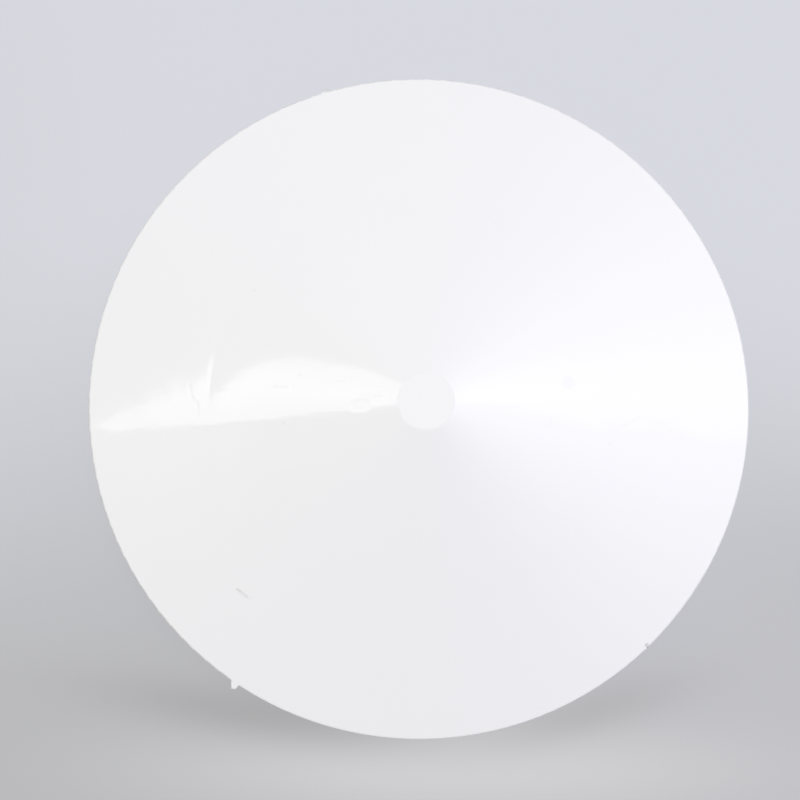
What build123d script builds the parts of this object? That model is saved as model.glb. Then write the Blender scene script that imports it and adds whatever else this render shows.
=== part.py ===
from build123d import *
import os
from math import cos, pi, radians, tan

# Vent pipe cap for a soil or vent stack: one white PVC-U moulding.
# A socket pushes over the end of the pipe, a slotted cage lets the air out,
# and a conical roof with a wide eave keeps the rain off.
# The axis is +Z. The origin is the centre of the socket's mouth. Millimetres and degrees.

# Pipe that the cap fits
pipe_diameter = 110.0
pipe_wall = 3.2

# Socket
socket_clearance = 0.2  # on the radius, between pipe and socket
socket_depth = 48.0
socket_wall = 3.2
mouth_flare = 1.2  # lead-in chamfer on the radius
mouth_flare_length = 2.5
mouth_lip_chamfer = 0.6

# Cage
cage_wall = 3.6
window_count = 16
bar_width = 7.6  # round the outside of the cage
window_height = 40.0
window_corner = 3.0
window_corner_share = 0.45  # of the window's width, at most
sill_height = 3.0  # plain band under the windows
header_height = 3.0  # plain band over the windows
shoulder_radius = 1.5

# Roof
roof_diameter = 170.0
roof_slope = 24.5
roof_wall = 3.0
rim_top_radius = 0.6
rim_under_chamfer = 0.5
root_chamfer = 1.5  # where the cage runs into the eave
gate_disc_diameter = 14.4  # flat spot that the trimmed sprue leaves at the apex

# Flash on the rim, flush with the roof, by azimuth from +X: a torn tooth, and a thin feather.
# The offset is where along the rim the tip starts, and the drop is how far its torn edge slopes back.
tooth_azimuth = 236.0
tooth_reach = 1.95  # out from the rim, down the roof's slope
tooth_root_width = 2.8
tooth_tip_width = 1.0
tooth_tip_offset = 0.2
tooth_tip_drop = 0.65
tooth_thickness = 0.7
feather_azimuth = 106.4
feather_reach = 0.45
feather_root_width = 3.0
feather_tip_width = 1.8
feather_tip_offset = -0.8
feather_tip_drop = -0.75
feather_thickness = 0.3
flash_bedding = 0.8  # in from the rim
flash_inset = 0.02  # below the roof's outer face

# Pit in the roof, just inside the rim
pit_azimuth = 313.8
pit_radius = 0.5
pit_inset = 0.6

# Radii
socket_radius = pipe_diameter / 2 + socket_clearance
collar_radius = socket_radius + socket_wall
cage_inner_radius = pipe_diameter / 2 - pipe_wall
cage_outer_radius = cage_inner_radius + cage_wall
rim_radius = roof_diameter / 2
gate_disc_radius = gate_disc_diameter / 2

# Heights
pitch = tan(radians(roof_slope))
roof_rise = roof_wall / cos(radians(roof_slope))  # roof wall, measured straight up
shoulder_z = socket_depth + socket_wall * (2**0.5 - 1)  # keeps the wall whole round the stop ledge
cage_foot_z = shoulder_z + abs(collar_radius - cage_outer_radius)
window_bottom_z = cage_foot_z + sill_height
window_top_z = window_bottom_z + window_height
eave_root_z = window_top_z + header_height
eave_under_z = eave_root_z - (rim_radius - cage_outer_radius) * pitch
rim_top_z = eave_under_z + roof_rise
gate_edge_z = rim_top_z + (rim_radius - gate_disc_radius) * pitch
pit_z = rim_top_z + pit_inset * pitch  # on the roof
ceiling_root_z = eave_root_z + (cage_outer_radius - cage_inner_radius) * pitch
ceiling_radius = gate_disc_radius
ceiling_z = gate_edge_z - roof_rise

# Half section: each corner's radius, height and fillet, from the mouth up the inside and down the outside
corners = [
    (socket_radius + mouth_flare, 0, 0),
    (socket_radius, mouth_flare_length, 0),
    (socket_radius, socket_depth, 0),
    (cage_inner_radius, socket_depth, 0),
    (cage_inner_radius, ceiling_root_z, 0),
    (ceiling_radius, ceiling_z, 0),
    (0, ceiling_z, 0),
    (0, gate_edge_z, 0),
    (gate_disc_radius, gate_edge_z, 0),
    (rim_radius, rim_top_z, rim_top_radius),
    (rim_radius, eave_under_z + rim_under_chamfer, 0),
    (rim_radius - rim_under_chamfer, eave_under_z + rim_under_chamfer * pitch, 0),
    (cage_outer_radius + root_chamfer, eave_root_z - root_chamfer * pitch, 0),
    (cage_outer_radius, eave_root_z - root_chamfer, 0),
    (cage_outer_radius, cage_foot_z, shoulder_radius),
    (collar_radius, shoulder_z, shoulder_radius),
    (collar_radius, mouth_lip_chamfer, 0),
    (collar_radius - mouth_lip_chamfer, 0, 0),
]

# Window in the +X side of the cage, cut from inside the cage to just past its outer face
window_width = 2 * pi * cage_outer_radius / window_count - bar_width
window_corner_radius = min(window_corner, window_width * window_corner_share)
window_overrun = 1.0
window_start = cage_inner_radius * cos(pi / window_count) - window_overrun

with BuildPart() as window:
    with BuildSketch(Plane.YZ.offset(window_start)):
        with Locations((0, (window_bottom_z + window_top_z) / 2)):
            RectangleRounded(window_width, window_height, window_corner_radius)
    extrude(amount=cage_outer_radius + window_overrun - window_start)


def make_flash(azimuth, reach, root_width, tip_width, tip_offset, tip_drop, thickness):
    """One piece of flash. Its outline starts from the rim and runs down the roof's slope."""
    surface = Plane(origin=(rim_radius, 0, rim_top_z - flash_inset), x_dir=(1, 0, -pitch), z_dir=(pitch, 0, 1))
    with BuildPart() as flash:
        with BuildSketch(surface):
            with BuildLine():
                Polyline(
                    (-flash_bedding, -root_width / 2),
                    (reach, tip_offset),
                    (reach - tip_drop, tip_offset + tip_width),
                    (-flash_bedding, root_width / 2),
                    close=True,
                )
            make_face()
        extrude(amount=-thickness)
    return flash.part.rotate(Axis.Z, azimuth)


tooth = make_flash(
    tooth_azimuth,
    tooth_reach,
    tooth_root_width,
    tooth_tip_width,
    tooth_tip_offset,
    tooth_tip_drop,
    tooth_thickness,
)
feather = make_flash(
    feather_azimuth,
    feather_reach,
    feather_root_width,
    feather_tip_width,
    feather_tip_offset,
    feather_tip_drop,
    feather_thickness,
)

with BuildPart() as vent_cap:
    with BuildSketch(Plane.XZ):
        with BuildLine():
            FilletPolyline(
                *[(radius, height) for radius, height, _ in corners],
                radius=[fillet for _, _, fillet in corners],
                close=True,
            )
        make_face()
    revolve(axis=Axis.Z)

    with PolarLocations(0, window_count):
        add(window.part, mode=Mode.SUBTRACT)

    add(tooth)
    add(feather)

    with PolarLocations(rim_radius - pit_inset, 1, start_angle=pit_azimuth):
        with Locations((0, 0, pit_z)):
            Sphere(pit_radius, mode=Mode.SUBTRACT)

vent_cap.part.label = "vent_cap"
os.makedirs("parts", exist_ok=True)
export_step(vent_cap.part, "parts/vent_cap.step")

print(f"height {gate_edge_z:.2f}, rim {eave_under_z:.2f} to {rim_top_z:.2f}, window width {window_width:.2f}")
print(f"solids {len(vent_cap.part.solids())}, volume {vent_cap.part.volume / 1000:.1f} cm3")
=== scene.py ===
import math
from collections import namedtuple

import bpy
from mathutils import Matrix, Vector


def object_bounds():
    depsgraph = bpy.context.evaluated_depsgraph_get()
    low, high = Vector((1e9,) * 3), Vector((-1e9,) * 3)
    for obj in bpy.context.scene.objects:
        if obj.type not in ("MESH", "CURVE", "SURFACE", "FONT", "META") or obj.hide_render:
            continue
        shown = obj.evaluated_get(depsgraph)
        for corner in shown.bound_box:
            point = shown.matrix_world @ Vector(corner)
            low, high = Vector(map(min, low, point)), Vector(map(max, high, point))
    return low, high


# Vent pipe cap: the look of its glossy white PVC-U moulding, seen from above the roof.
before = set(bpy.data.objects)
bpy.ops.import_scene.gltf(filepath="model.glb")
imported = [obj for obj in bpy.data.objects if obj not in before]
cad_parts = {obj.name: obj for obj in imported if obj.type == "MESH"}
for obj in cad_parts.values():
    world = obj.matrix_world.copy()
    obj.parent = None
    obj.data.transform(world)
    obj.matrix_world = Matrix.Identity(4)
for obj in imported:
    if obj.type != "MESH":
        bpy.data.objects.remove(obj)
cad_low, cad_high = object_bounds()
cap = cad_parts["vent_cap"]

# The cap in its own frame, in metres. The axis is Z and the origin is the centre of the socket's mouth.
MM = 0.001


def mm(*values):
    """Lengths in millimetres, turned into metres"""
    return tuple(value * MM for value in values)


RIM_EDGE_Z = 86.4 * MM
ROOF_PITCH = math.tan(math.radians(24.5))
GATE_RADIUS = 7.2 * MM
GATE_Z = cad_high.z
CONE_TIP_Z = GATE_Z + GATE_RADIUS * ROOF_PITCH

# Camera: nearly down the axis, where the photograph was taken from
FRAME_PX = 800
PX_PER_M = 3.886 / MM
CAMERA_DISTANCE = 1.5
CAMERA_TILT = math.radians(3.8)
CAMERA_TILT_AZIMUTH = math.radians(49.9)
CAMERA_AIM = Vector((-4.98 * MM, 2.18 * MM, RIM_EDGE_Z))
CAMERA_CLIP = (0.05, 50)
SENSOR_MM = 36


def add_camera():
    back = Vector((
        -math.sin(CAMERA_TILT) * math.cos(CAMERA_TILT_AZIMUTH),
        -math.sin(CAMERA_TILT) * math.sin(CAMERA_TILT_AZIMUTH),
        math.cos(CAMERA_TILT),
    ))
    up = (Vector((0, 1, 0)) - back * back.y).normalized()
    right = up.cross(back)
    data = bpy.data.cameras.new("camera")
    data.sensor_width = SENSOR_MM
    data.lens = CAMERA_DISTANCE * PX_PER_M * SENSOR_MM / FRAME_PX
    data.clip_start, data.clip_end = CAMERA_CLIP
    camera = bpy.data.objects.new("camera", data)
    place = Matrix((right, up, back)).transposed().to_4x4()
    place.translation = CAMERA_AIM + back * CAMERA_DISTANCE
    camera.matrix_world = place
    bpy.context.scene.collection.objects.link(camera)
    bpy.context.scene.camera = camera


class Nodes:
    """Builds a node tree. An input is a number, a colour, a vector or another node's output."""

    def __init__(self, tree):
        self.tree = tree
        tree.nodes.clear()

    def add(self, kind, inputs=None, output=0, **settings):
        node = self.tree.nodes.new(kind)
        for key, value in settings.items():
            setattr(node, key, value)
        for key, value in (inputs or {}).items():
            if isinstance(value, bpy.types.NodeSocket):
                self.tree.links.new(value, node.inputs[key])
            else:
                node.inputs[key].default_value = value
        return node.outputs[output] if node.outputs else node

    def math(self, operation, *values):
        return self.add("ShaderNodeMath", dict(enumerate(values)), operation=operation)

    def vector(self, operation, *values):
        output = "Value" if operation in ("DOT_PRODUCT", "LENGTH") else "Vector"
        return self.add("ShaderNodeVectorMath", dict(enumerate(values)), output=output, operation=operation)

    def fold(self, operation, first, *others):
        """Joins any number of values by one operation"""
        total = first
        for other in others:
            total = self.math(operation, total, other)
        return total

    def clamp(self, value):
        return self.math("MINIMUM", self.math("MAXIMUM", value, 0.0), 1.0)

    def bell(self, value):
        """exp(-value squared)"""
        return self.math("EXPONENT", self.math("MULTIPLY", self.math("MULTIPLY", value, value), -1.0))

    def ramp(self, value, low, high, to_low=0.0, to_high=1.0):
        """A smooth step from to_low at low to to_high at high"""
        inputs = {"Value": value, "From Min": low, "From Max": high, "To Min": to_low, "To Max": to_high}
        return self.add("ShaderNodeMapRange", inputs, interpolation_type="SMOOTHSTEP")

    def length(self, x, y):
        return self.math("SQRT", self.math("ADD", self.math("MULTIPLY", x, x), self.math("MULTIPLY", y, y)))

    def split(self, vector):
        node = self.tree.nodes.new("ShaderNodeSeparateXYZ")
        self.tree.links.new(vector, node.inputs[0])
        return node.outputs

    def join(self, x, y, z):
        return self.add("ShaderNodeCombineXYZ", {"X": x, "Y": y, "Z": z})

    def noise(self, vector, scale, detail=2.0, roughness=0.5):
        inputs = {"Vector": vector, "Scale": scale, "Detail": detail, "Roughness": roughness}
        return self.add("ShaderNodeTexNoise", inputs)

    def mix(self, factor, first, second):
        """Mixes two colours. The node's colour sockets are inputs 6 and 7 and output 2."""
        inputs = {0: factor, 6: first, 7: second}
        return self.add("ShaderNodeMix", inputs, output=2, data_type="RGBA")

    def mix_shaders(self, factor, first, second):
        return self.add("ShaderNodeMixShader", {0: factor, 1: first, 2: second})

    def position(self):
        """Where the shaded point is, in the frame of its object"""
        return self.add("ShaderNodeTexCoord", output="Object")

    def seen_ray(self):
        """1 for the rays that show a surface: camera, glossy and transmission rays"""
        path = self.tree.nodes.new("ShaderNodeLightPath").outputs
        bounced = self.math("MAXIMUM", path["Is Glossy Ray"], path["Is Transmission Ray"])
        return self.math("MAXIMUM", path["Is Camera Ray"], bounced)


def new_material(name):
    material = bpy.data.materials.new(name)
    material.use_nodes = True
    return material, Nodes(material.node_tree)


def new_object(name, vertices, faces, material):
    mesh = bpy.data.meshes.new(name)
    mesh.from_pydata(vertices, [], faces)
    mesh.materials.append(material)
    obj = bpy.data.objects.new(name, mesh)
    bpy.context.scene.collection.objects.link(obj)
    return obj


# Glossy white PVC-U
PVC_COLOUR = (0.875, 0.874, 0.875, 1)
PVC_ROUGHNESS = 0.055
PVC_IOR = 1.53

# Depths below the roof's face and the gate disc's face where each face's effect ends, and where it is full
ROOF_SKIN = mm(1.5, 1.0)
GATE_SKIN = mm(0.3, 0.2)
GATE_BORDER = 0.4 * MM

# Edges look rounded, and more so where the roof meets the gate disc
EDGE_ROUNDING = 0.25 * MM
GATE_ROUNDING = 0.6 * MM
GATE_SURROUND = mm(2, 1)
ROUNDING_SAMPLES = 6

# Moulded unevenness: slow swell, fine orange peel, and flow lines, whose height is a share of the radius
SWELL_SCALE = 35
SWELL_HEIGHT = 0.04 * MM
PEEL_SCALE = 900
PEEL_DETAIL = 1.0
PEEL_HEIGHT = 0.0006 * MM
FLOW_LINES = 7
FLOW_CHANGE = 6.0
FLOW_DETAIL = 3.0
FLOW_HEIGHT = 0.0015

# Sink: the roof sags towards the cage wall, is creased there, and recovers beyond it
SAG_START = 42.0 * MM
CREASE_RADIUS = 54.2 * MM
SAG_DEPTH = 0.108 * MM
RECOVERY_WIDTH = 1.3 * MM
RECOVERY_HEIGHT = 0.014 * MM

# Dirt and painted shade in the marks, and the share of a stroke's half width that is as strong as its
# middle
DIRT_AND_SHADE_COLOUR = (0.28, 0.27, 0.25, 1)
DIRT_AND_SHADE_ROUGHNESS = 0.4
STROKE_CORE = 0.35

# Marks on the roof, in millimetres: dark is the share of the dark colour (dirt, and painted shade where
# noted), and depth is below zero for a lip
Mark = namedtuple("Mark", "start end half_width dark depth", defaults=(0.0, 0.0))
MARKS = {
    "scratch": Mark((-46.5, -47.0), (-44.4, -48.7), 0.55, dark=0.15, depth=0.003),
    "scratch_head": Mark((-47.0, -46.7), (-46.1, -47.2), 0.32, dark=0.26),
    "scratch_tail": Mark((-44.4, -48.7), (-43.3, -49.1), 0.45, dark=0.04),
    "scratch_lip": Mark((-46.7, -47.9), (-44.9, -49.3), 0.35, depth=-0.004),
    "fleck_low": Mark((-35.8, -4.7), (-35.5, -4.9), 0.45, dark=0.05, depth=0.003),
    "fleck_low_tail": Mark((-35.3, -5.1), (-34.9, -5.4), 0.40, dark=0.05),
    "fleck_high": Mark((-42.9, 29.3), (-42.7, 29.1), 0.35, dark=0.10),
    "tick": Mark((32.4, -3.1), (31.7, -5.8), 0.34, dark=0.05, depth=0.006),
    "fleck_right": Mark((47.7, -9.9), (48.0, -10.1), 0.45, dark=0.04),
    "dash_outer": Mark((-37.8, 4.4), (-34.8, 4.1), 0.65, dark=0.06, depth=0.004),
    "dash_tick": Mark((-33.0, 4.9), (-32.9, 4.0), 0.30, dark=0.04),
    "dot": Mark((-31.4, 7.3), (-31.2, 7.1), 0.50, dark=0.06, depth=0.002),
    "dash_inner": Mark((-22.2, 5.4), (-20.4, 5.4), 0.32, dark=0.05, depth=0.002),
    # The pit: dirt, and painted shade in its hollow
    "pit": Mark((58.3, -60.9), (58.6, -61.2), 0.50, dark=0.35),
    "hook_upper": Mark((-59.5, 5.2), (-58.7, 1.8), 0.70, depth=0.012),
    "hook_bend": Mark((-58.7, 1.8), (-57.4, 0.4), 0.70, depth=0.012),
    "hook_lower": Mark((-57.4, 0.4), (-57.2, -2.5), 0.70, depth=0.012),
    # Flash that is too thin to look white: painted grey, a shade standing in for the floor seen through it
    "feather": Mark((-23.2, 82.1), (-25.4, 81.9), 0.85, dark=0.33),
    "dent_upper": Mark((-17.4, -0.9), (-15.4, -0.8), 2.0, depth=0.055),
    "dent_lower": Mark((-12.4, 0.4), (-10.0, 0.6), 1.6, depth=0.045),
    "smudge": Mark((-16.0, 1.5), (-11.8, 1.7), 1.3, dark=0.03),
    # Ripples: painted shade along their lines, with their small height
    "ripple_rise": Mark((50.4, -5.6), (55.1, -3.2), 0.55, dark=0.025, depth=0.004),
    "ripple_crest": Mark((58.8, -3.8), (61.3, -4.1), 0.50, dark=0.02, depth=0.004),
    "ripple_fall": Mark((61.3, -4.1), (64.1, -6.2), 0.55, dark=0.025, depth=0.004),
    "ripple_foot": Mark((66.4, -6.6), (67.7, -8.2), 0.60, dark=0.02, depth=0.004),
    "ripple_tick": Mark((65.3, -2.6), (65.3, -4.1), 0.40, dark=0.02),
}

# Round bluish spot on the roof, a little darker than round it
SPOT_TINT = (0.80, 0.80, 0.90, 1)
SPOT_CENTRE = mm(36.7, 5.5)
SPOT_RADIUS = 2.2 * MM
SPOT_CORE = 0.6
SPOT_SHARE = 0.33


def roof_relief(n, x, y, radius):
    """Height of the roof's own unevenness: the sink over the cage wall, and the flow lines"""
    sag = n.clamp(n.math("DIVIDE", n.math("SUBTRACT", radius, SAG_START), CREASE_RADIUS - SAG_START))
    recovery = n.clamp(n.math("DIVIDE", n.math("SUBTRACT", radius, CREASE_RADIUS), RECOVERY_WIDTH))
    sunk = n.math("MULTIPLY", n.math("MULTIPLY", sag, sag), SAG_DEPTH)
    sink = n.math("SUBTRACT", n.math("MULTIPLY", recovery, RECOVERY_HEIGHT), sunk)

    # Flow lines: noise by azimuth, whose height grows with the radius so that its slope stays the same
    along = n.math("MULTIPLY", radius, FLOW_CHANGE)
    spoke = n.join(n.math("DIVIDE", x, radius), n.math("DIVIDE", y, radius), along)
    lines = n.noise(spoke, FLOW_LINES, detail=FLOW_DETAIL)
    flow = n.math("MULTIPLY", n.math("MULTIPLY", lines, radius), FLOW_HEIGHT)
    return n.math("ADD", sink, flow)


def stroke(n, flat, mark):
    """1 on the mark's line, fading to 0 at its half width"""
    start, end = (Vector((*point, 0)) * MM for point in (mark.start, mark.end))
    along = end - start
    offset = n.vector("SUBTRACT", flat, start)
    share = n.clamp(n.vector("DOT_PRODUCT", offset, along / along.length_squared))
    reach = n.add("ShaderNodeVectorMath", {0: along, "Scale": share}, operation="SCALE")
    distance = n.vector("LENGTH", n.vector("SUBTRACT", offset, reach))
    return n.ramp(distance, mark.half_width * MM * STROKE_CORE, mark.half_width * MM, 1.0, 0.0)


def marks_on(n, flat, on_top):
    """What the marks give: a list of shares of dirt and painted shade, and a list of heights"""
    dirt_and_shade, heights = [], []
    for mark in MARKS.values():
        mask = n.math("MULTIPLY", stroke(n, flat, mark), on_top)
        if mark.dark:
            dirt_and_shade.append(n.math("MULTIPLY", mask, mark.dark))
        if mark.depth:
            heights.append(n.math("MULTIPLY", mask, -mark.depth * MM))
    return dirt_and_shade, heights


def pvc_material():
    material, n = new_material("pvc_gloss_white")
    position = n.position()
    x, y, z = n.split(position)
    radius = n.length(x, y)
    flat = n.join(x, y, 0.0)

    # On the roof's outer face, z + radius x pitch is the same all over
    level = n.math("ADD", z, n.math("MULTIPLY", radius, ROOF_PITCH))
    on_roof = n.ramp(level, CONE_TIP_Z - ROOF_SKIN[0], CONE_TIP_Z - ROOF_SKIN[1])
    on_gate = n.math(
        "MULTIPLY",
        n.ramp(z, GATE_Z - GATE_SKIN[0], GATE_Z - GATE_SKIN[1]),
        n.ramp(radius, GATE_RADIUS, GATE_RADIUS - GATE_BORDER),
    )
    dirt_and_shade, marks = marks_on(n, flat, n.math("MAXIMUM", on_roof, on_gate))
    dirt_and_shade = n.fold("MAXIMUM", *dirt_and_shade)
    height = n.fold(
        "ADD",
        n.math("MULTIPLY", roof_relief(n, x, y, radius), on_roof),
        n.math("MULTIPLY", n.noise(position, SWELL_SCALE), SWELL_HEIGHT),
        n.math("MULTIPLY", n.noise(position, PEEL_SCALE, detail=PEEL_DETAIL), PEEL_HEIGHT),
        *marks,
    )

    from_spot = n.vector("LENGTH", n.vector("SUBTRACT", flat, Vector((*SPOT_CENTRE, 0))))
    spot = n.math("MULTIPLY", n.ramp(from_spot, SPOT_RADIUS * SPOT_CORE, SPOT_RADIUS, 1.0, 0.0), on_roof)
    # Dirt, and the painted shade of the feather, the pit and the ripples, darken the colour
    colour = n.mix(dirt_and_shade, PVC_COLOUR, DIRT_AND_SHADE_COLOUR)
    colour = n.mix(n.math("MULTIPLY", spot, SPOT_SHARE), colour, SPOT_TINT)

    near_gate = n.ramp(radius, GATE_RADIUS + GATE_SURROUND[0], GATE_RADIUS + GATE_SURROUND[1])
    near_gate = n.math("MULTIPLY", on_roof, near_gate)
    rounding = n.math("ADD", n.math("MULTIPLY", near_gate, GATE_ROUNDING - EDGE_ROUNDING), EDGE_ROUNDING)
    rounded = n.add("ShaderNodeBevel", {"Radius": rounding}, samples=ROUNDING_SAMPLES)
    bump = n.add("ShaderNodeBump", {"Height": height, "Strength": 1.0, "Distance": 1.0, "Normal": rounded})

    shader = n.add("ShaderNodeBsdfPrincipled", {
        "Base Color": colour,
        "Roughness": n.math("ADD", n.math("MULTIPLY", dirt_and_shade, DIRT_AND_SHADE_ROUGHNESS), PVC_ROUGHNESS),
        "IOR": PVC_IOR,
        "Normal": bump,
    })
    n.add("ShaderNodeOutputMaterial", {"Surface": shader})
    return material


def dress(obj, material):
    obj.data.materials.clear()
    obj.data.materials.append(material)


# Floor: pale, with painted shade that darkens it towards -Y, a painted bright patch and painted soft
# shadows
FLOOR_REACH = 4.0
FLOOR_FAR = (0.69, 0.70, 0.75, 1)
FLOOR_NEAR_LEFT = (0.485, 0.485, 0.498, 1)
FLOOR_NEAR_RIGHT = (0.527, 0.527, 0.555, 1)
FLOOR_SHEEN = (0.66, 0.66, 0.67, 1)
FLOOR_SHADE = (0.40, 0.395, 0.40, 1)
FLOOR_FADE = mm(-99, 61)
FLOOR_ACROSS = mm(-111, 109)

# The share of the floor's tone that is its own: small near the cap, whose shadow is strong there
FLOOR_OWN_TONE = (0.15, 0.90)
FLOOR_OWN_FADE = mm(60, 90)

# Painted patches on the floor, each tilted by its slope: a painted sheen, and painted shade and shadows
Patch = namedtuple("Patch", "colour middle spread slope strength")
FLOOR_PATCHES = {
    "sheen": Patch(FLOOR_SHEEN, mm(13, -94), mm(78, 13), 0.0, 1.0),
    # Painted shadows in front of the roof
    "front_left": Patch(FLOOR_SHADE, mm(-42, -78.5), mm(40, 7), -0.15, 0.72),
    "front_right": Patch(FLOOR_SHADE, mm(51, -78), mm(25, 6.5), 0.27, 0.40),
    # Painted shade, darker at the right and at the upper left
    "far_right": Patch(FLOOR_SHADE, mm(111, -37), mm(30, 28), 0.0, 0.20),
    "far_left": Patch(FLOOR_SHADE, mm(-119, 76), mm(32, 75), 0.0, 0.08),
}


def patch_share(n, x, y, patch):
    """The patch's strength in its middle, fading to 0 all round. The slope tilts it."""
    across = n.math("SUBTRACT", x, patch.middle[0])
    tilted = n.math("MULTIPLY", across, patch.slope)
    up = n.math("SUBTRACT", n.math("SUBTRACT", y, patch.middle[1]), tilted)
    bells = [n.bell(n.math("DIVIDE", part, spread)) for part, spread in zip((across, up), patch.spread)]
    return n.math("MULTIPLY", n.math("MULTIPLY", *bells), patch.strength)


def add_floor():
    material, n = new_material("studio_floor")
    x, y, _ = n.split(n.position())
    # Painted shade: darker towards -Y
    near = n.mix(n.ramp(x, *FLOOR_ACROSS), FLOOR_NEAR_LEFT, FLOOR_NEAR_RIGHT)
    colour = n.mix(n.ramp(y, *FLOOR_FADE), near, FLOOR_FAR)
    # Painted sheen and painted shadows over the floor's tone
    for patch in FLOOR_PATCHES.values():
        colour = n.mix(patch_share(n, x, y, patch), colour, patch.colour)
    lit = n.add("ShaderNodeBsdfDiffuse", {"Color": colour})
    own = n.add("ShaderNodeEmission", {"Color": colour, "Strength": 1.0})
    own_share = n.ramp(n.length(x, y), *FLOOR_OWN_FADE, *FLOOR_OWN_TONE)
    top = n.mix_shaders(n.math("MULTIPLY", n.seen_ray(), own_share), lit, own)

    # Clear from below, so that the cap's underside can be seen
    from_below = n.add("ShaderNodeNewGeometry", output="Backfacing")
    clear = n.add("ShaderNodeBsdfTransparent")
    n.add("ShaderNodeOutputMaterial", {"Surface": n.mix_shaders(from_below, top, clear)})
    corners = [(x * FLOOR_REACH, y * FLOOR_REACH, 0) for x, y in ((-1, -1), (1, -1), (1, 1), (-1, 1))]
    floor = new_object("floor", corners, [(0, 1, 2, 3)], material)


# World: a dome that is cooler on the right, seen as a pale backdrop
WORLD_LEFT = (1.05, 1.05, 0.955, 1)
WORLD_RIGHT = (0.935, 0.92, 1.11, 1)
WORLD_STRENGTH = 0.60
WORLD_BACKDROP = FLOOR_FAR


def add_world():
    world = bpy.data.worlds.new("studio")
    world.use_nodes = True
    n = Nodes(world.node_tree)
    x, _, _ = n.split(n.add("ShaderNodeTexCoord", output="Generated"))
    tint = n.mix(n.ramp(x, -1, 1), WORLD_LEFT, WORLD_RIGHT)
    light = n.add("ShaderNodeBackground", {"Color": tint, "Strength": WORLD_STRENGTH})
    backdrop = n.add("ShaderNodeBackground", {"Color": WORLD_BACKDROP, "Strength": 1.0})
    n.add("ShaderNodeOutputWorld", {"Surface": n.mix_shaders(n.seen_ray(), light, backdrop)})
    bpy.context.scene.world = world


# Soft light from overhead, a little from +Y
LAMP_POLAR = 9
LAMP_AZIMUTH = 80
LAMP_DISTANCE = 2.4
LAMP_SIDE = 1.2
LAMP_WATTS = 28


def toward(polar, azimuth, distance):
    """A point round the roof. The angles are in degrees, and the polar one is from straight up."""
    p, a = math.radians(polar), math.radians(azimuth)
    way = Vector((math.sin(p) * math.cos(a), math.sin(p) * math.sin(a), math.cos(p)))
    return way * distance + Vector((0, 0, RIM_EDGE_Z))


def add_lamp():
    data = bpy.data.lights.new("softbox", "AREA")
    data.shape = "SQUARE"
    data.size = LAMP_SIDE
    data.energy = LAMP_WATTS
    lamp = bpy.data.objects.new("softbox", data)
    lamp.location = toward(LAMP_POLAR, LAMP_AZIMUTH, LAMP_DISTANCE)
    lamp.rotation_euler = (lamp.location - Vector((0, 0, RIM_EDGE_Z))).to_track_quat("Z", "Y").to_euler()
    lamp.visible_camera = False
    lamp.visible_glossy = False
    bpy.context.scene.collection.objects.link(lamp)


def add_reflector(name, vertices, faces, colour, radiance, fade):
    """A light that only gloss shows, added to what is behind it. fade(n, x, y) dims it by place."""
    material, n = new_material(name)
    x, y, _ = n.split(n.position())
    brightness = n.math("MULTIPLY", fade(n, x, y), radiance)
    glow = n.add("ShaderNodeEmission", {"Color": colour, "Strength": brightness})
    clear = n.add("ShaderNodeBsdfTransparent")
    n.add("ShaderNodeOutputMaterial", {"Surface": n.add("ShaderNodeAddShader", {0: glow, 1: clear})})
    card = new_object(name, vertices, faces, material)
    card.visible_camera = False
    card.visible_diffuse = False
    card.visible_shadow = False


def add_level_card(name, outline, z, colour, radiance, fade):
    corners = [(x, y, z) for x, y in outline]
    add_reflector(name, corners, [tuple(range(len(corners)))], colour, radiance, fade)


# Heights of the level cards: the haze is just above the left card, which it overlaps
CARD_Z = 600 * MM
HAZE_Z = 601 * MM
WHITE = (1, 1, 1, 1)

# Left reflection: a round head that is cut off along X, and brightest in a band along X
LEFT_CENTRE = mm(-1, -208)
LEFT_RADIUS = 700 * MM
LEFT_FADE = 4 * MM
LEFT_CUT = [
    mm(-730, 4), mm(-670, -13), mm(-630, -26), mm(-599, -24), mm(-560, -24), mm(-506, -40), mm(-358, -54),
]
LEFT_RADIANCE = 2.15
LEFT_TONE = 0.76
LEFT_BAND_TONE = 0.30
LEFT_BAND_Y = 98 * MM
LEFT_BAND_SPREAD = 75 * MM


def add_left_reflector():
    def fade(n, x, y):
        radius = n.length(n.math("SUBTRACT", x, LEFT_CENTRE[0]), n.math("SUBTRACT", y, LEFT_CENTRE[1]))
        inside = n.ramp(radius, LEFT_RADIUS - LEFT_FADE, LEFT_RADIUS + LEFT_FADE, 1.0, 0.0)
        band = n.bell(n.math("DIVIDE", n.math("SUBTRACT", y, LEFT_BAND_Y), LEFT_BAND_SPREAD))
        tone = n.math("ADD", n.math("MULTIPLY", band, LEFT_BAND_TONE), LEFT_TONE)
        return n.math("MULTIPLY", inside, tone)
    top = LEFT_CENTRE[1] + LEFT_RADIUS + LEFT_FADE
    outline = LEFT_CUT + [(LEFT_CUT[-1][0], top), (LEFT_CUT[0][0], top)]
    add_level_card("reflector_left", outline, CARD_Z, WHITE, LEFT_RADIANCE, fade)


# Haze round the left reflection, towards the rim
HAZE_FROM = mm(570, 635)
HAZE_MIDDLE_Y = -51 * MM
HAZE_SPREAD_Y = 260 * MM
HAZE_CORNERS = (mm(-830, -610), mm(-360, 490))
HAZE_RADIANCE = 0.40


def add_left_haze():
    def fade(n, x, y):
        beside = n.bell(n.math("DIVIDE", n.math("SUBTRACT", y, HAZE_MIDDLE_Y), HAZE_SPREAD_Y))
        return n.math("MULTIPLY", n.ramp(n.length(x, y), *HAZE_FROM), beside)
    (x0, y0), (x1, y1) = HAZE_CORNERS
    outline = [(x0, y0), (x1, y0), (x1, y1), (x0, y1)]
    add_level_card("reflector_left_haze", outline, HAZE_Z, WHITE, HAZE_RADIANCE, fade)


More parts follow.
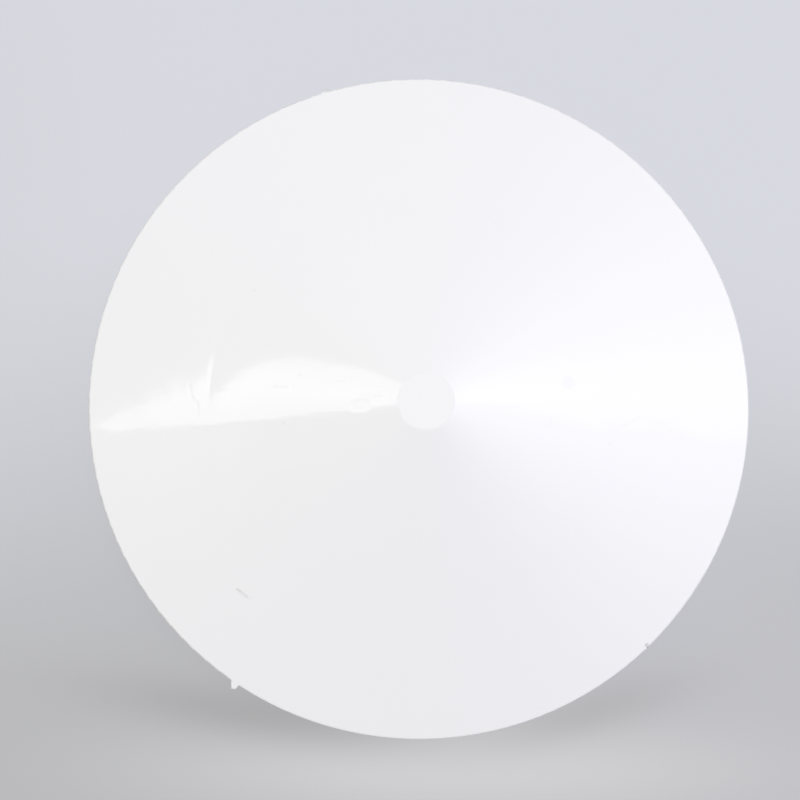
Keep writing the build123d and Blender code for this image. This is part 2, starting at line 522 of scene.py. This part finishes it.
# Right reflection: a level head with a cut lower edge, and behind it a band of a sphere, brightest midway
HEAD_CUT = [
    mm(549, 67), mm(625, 38), mm(643, 20), mm(660, -12), mm(679, -24), mm(716, -54),
    mm(735, 5), mm(745, -4), mm(755, -31), mm(798, -39), mm(887, -36),
]
HEAD_FAR = 338 * MM
HEAD_FADE = mm(68, 338)
HEAD_RADIANCE = 0.50
HEAD_COLOUR = (1.0, 1.0, 0.90, 1)
RIGHT_AZIMUTH = 6.2
RIGHT_SPREAD = 43
RIGHT_REACH = 120
RIGHT_POLAR = (38, 68)
RIGHT_DISTANCE = 1.3
RIGHT_RADIANCE = 2.40
RIGHT_COLOUR = (1.0, 1.0, 0.98, 1)
RIGHT_STEPS = 48


def add_right_head():
    def fade(n, x, y):
        return n.ramp(y, *HEAD_FADE, 1.0, 0.0)
    outline = HEAD_CUT + [(HEAD_CUT[-1][0], HEAD_FAR), (HEAD_CUT[0][0], HEAD_FAR)]
    add_level_card("reflector_right_head", outline, CARD_Z, HEAD_COLOUR, HEAD_RADIANCE, fade)


def add_right_reflector():
    def fade(n, x, y):
        turn = math.radians(RIGHT_AZIMUTH)
        cos, sin = math.cos(turn), math.sin(turn)
        ahead = n.math("ADD", n.math("MULTIPLY", x, cos), n.math("MULTIPLY", y, sin))
        aside = n.math("SUBTRACT", n.math("MULTIPLY", y, cos), n.math("MULTIPLY", x, sin))
        return n.bell(n.math("DIVIDE", n.math("ARCTAN2", aside, ahead), math.radians(RIGHT_SPREAD)))
    vertices = []
    for step in range(RIGHT_STEPS + 1):
        azimuth = RIGHT_AZIMUTH + RIGHT_REACH * (2 * step / RIGHT_STEPS - 1)
        vertices += [tuple(toward(polar, azimuth, RIGHT_DISTANCE)) for polar in RIGHT_POLAR]
    faces = [(2 * i, 2 * i + 1, 2 * i + 3, 2 * i + 2) for i in range(RIGHT_STEPS)]
    add_reflector("reflector_right", vertices, faces, RIGHT_COLOUR, RIGHT_RADIANCE, fade)


add_camera()
add_floor()
add_world()
add_lamp()
add_left_reflector()
add_left_haze()
add_right_head()
add_right_reflector()
dress(cap, pvc_material())

bpy.context.scene.view_settings.view_transform = "Standard"
